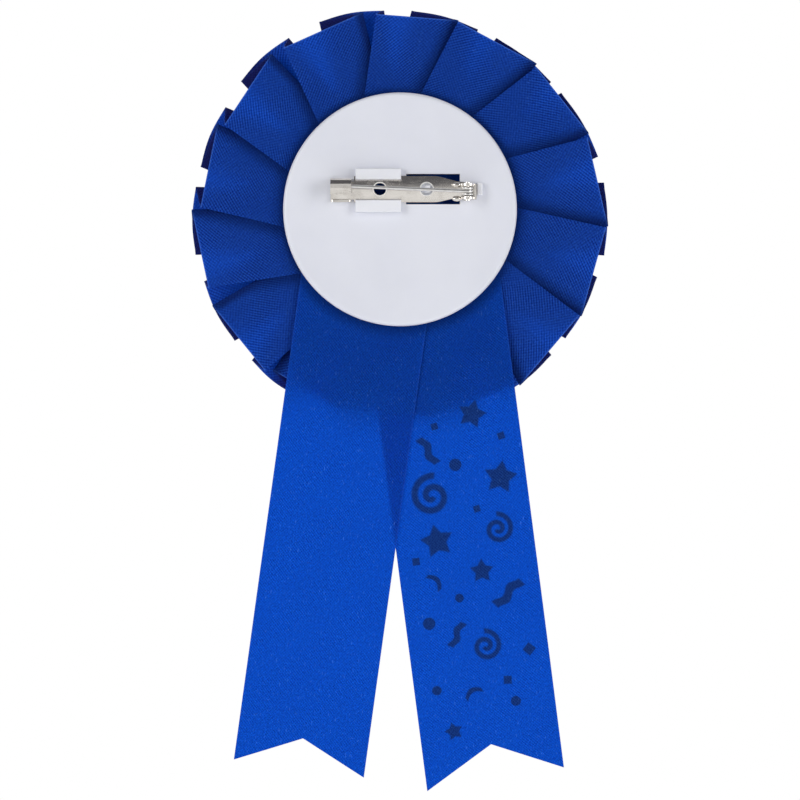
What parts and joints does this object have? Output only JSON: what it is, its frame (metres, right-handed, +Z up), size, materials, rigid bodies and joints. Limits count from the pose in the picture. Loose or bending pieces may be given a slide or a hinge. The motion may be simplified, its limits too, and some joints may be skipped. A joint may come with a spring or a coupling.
{
  "type": "award ribbon",
  "caption": "Pleated blue rosette with a round badge, a white backing disc with a bar pin, and swallow-tailed ribbon tails; it pins to clothing.",
  "frame": {"origin": "on the pin's needle, at the middle of the stretch that goes through the cloth", "axes": "+Z up as worn, the badge faces -Y, the wearer's clothes are on the +Y side; the needle points towards +X, rising 2.386 degrees"},
  "size_m": [0.093, 0.0148, 0.1755],
  "materials": {
    "plastic": "white moulded plastic, satin",
    "nickel": "bright nickel plate",
    "spring_wire": "nickel-plated spring wire",
    "ribbon": "royal blue woven ribbon",
    "printed_ribbon": "royal blue woven ribbon with a navy confetti print",
    "card": "grey board",
    "glue": "set hot-melt glue",
    "steel": "tinplate",
    "artwork": "printed paper",
    "film": "clear gloss film"
  },
  "bodies": {
    "ribbon": {"back_plate": "plastic", "pin_bar": "nickel", "plain_tail": "ribbon", "printed_tail": "printed_ribbon", "ruffle": "ribbon", "card_disc": "card", "glue_pad": "glue", "button_back": "steel", "button_shell": "steel", "button_artwork": "artwork", "button_film": "film"},
    "pin_rivet": {"pin_rivet": "nickel"},
    "pin_needle": {"pin_needle": "spring_wire"}
  },
  "joints": [
    {"name": "needle_swing", "type": "hinge", "parent": "ribbon", "child": "pin_rivet", "pos_m": [-0.0144, -0.00116, -0.0006], "axis": [0, 0, 1], "range_deg": [0, 90]},
    {"name": "needle_flex", "type": "hinge", "parent": "pin_rivet", "child": "pin_needle", "pos_m": [-0.0144, -0.00116, -0.0006], "axis": [0, 1, 0], "range_deg": [0, 5.5], "stiffness_Nm_per_rad": 0.05}
  ]
}
